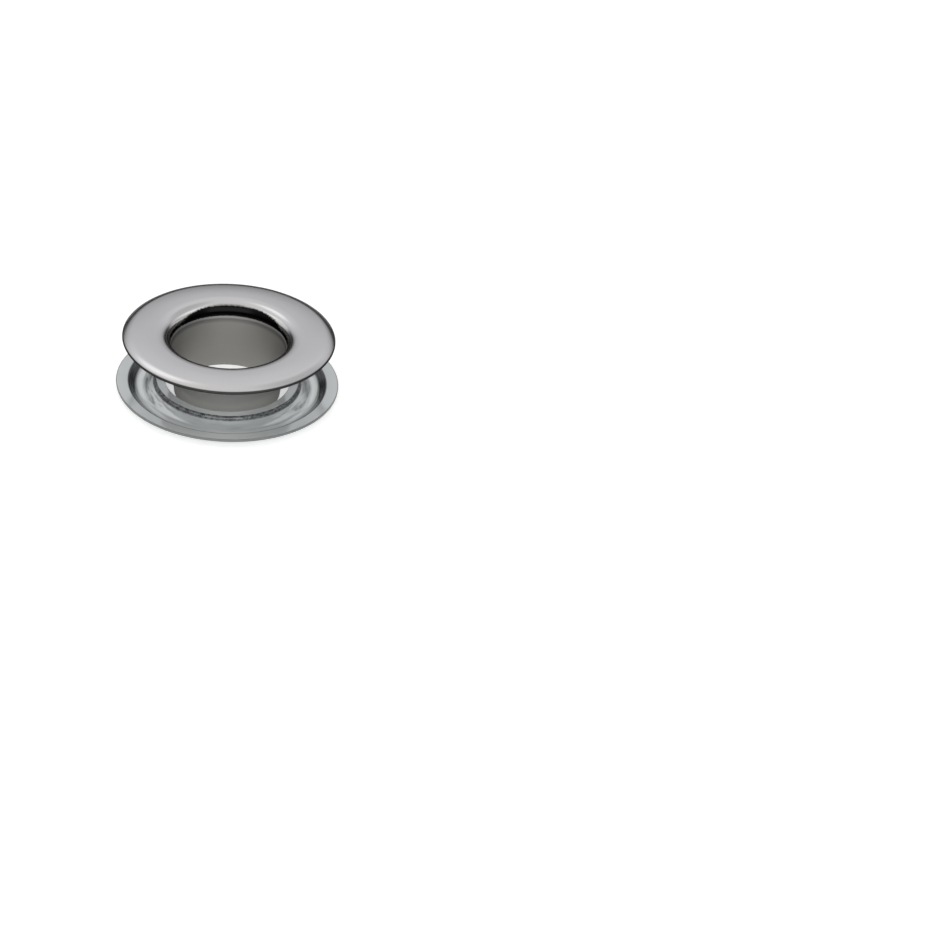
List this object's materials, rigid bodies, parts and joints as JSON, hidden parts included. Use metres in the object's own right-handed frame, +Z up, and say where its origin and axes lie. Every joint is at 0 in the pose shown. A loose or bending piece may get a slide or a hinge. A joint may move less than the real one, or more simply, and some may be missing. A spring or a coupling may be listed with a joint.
{
  "type": "grommet eyelet",
  "caption": "Two-piece eyelet set: a drawn eyelet with a domed flange and tapered barrel, and a pressed washer with a round bead, ready to clamp a cloth hole.",
  "frame": {"origin": "on the shared axis of both pieces, at the level of the surface that they stand on, which is the end of the barrel and the bottom of the washer's bead", "axes": "+Z up the axis, from the washer to the eyelet's flange; X and Y are free, because both pieces are round"},
  "size_m": [0.025, 0.025, 0.0074],
  "materials": {
    "nickel": "polished",
    "zinc": "satin"
  },
  "bodies": {
    "root": {"eyelet": "nickel", "washer": "zinc"}
  },
  "joints": []
}
